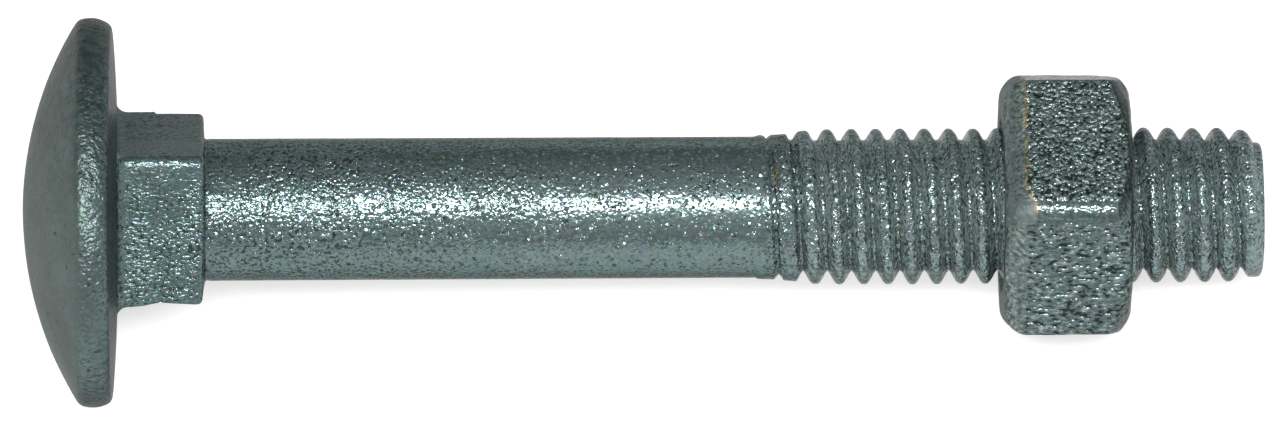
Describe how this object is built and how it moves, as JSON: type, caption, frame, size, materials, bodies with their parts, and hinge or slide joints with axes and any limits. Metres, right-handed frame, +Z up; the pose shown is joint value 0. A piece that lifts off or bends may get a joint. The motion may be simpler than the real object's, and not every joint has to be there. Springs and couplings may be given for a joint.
{
  "type": "carriage bolt with nut",
  "caption": "Round-headed square-neck bolt with a rolled thread, and a hexagon nut screwed onto it.",
  "frame": {"origin": "centre of the bearing face under the head, on the bolt's axis", "axes": "+X along the bolt towards its tip, +Z up as it lies on its head's rim and a flat of the nut; the axis dips about 3.8 degrees towards the tip"},
  "size_m": [0.0638, 0.02, 0.0199],
  "materials": {
    "bolt_zinc": "hot-dip galvanised, dull",
    "nut_zinc": "hot-dip galvanised, dull and coarse"
  },
  "bodies": {
    "bolt": {"bolt": "bolt_zinc"},
    "nut": {"nut": "nut_zinc"}
  },
  "joints": [
    {"name": "nut_travel", "type": "slide", "parent": "bolt", "child": "nut", "axis": [0.9978, 0, -0.0661], "range_m": [-0.01, 0.0125]}
  ]
}
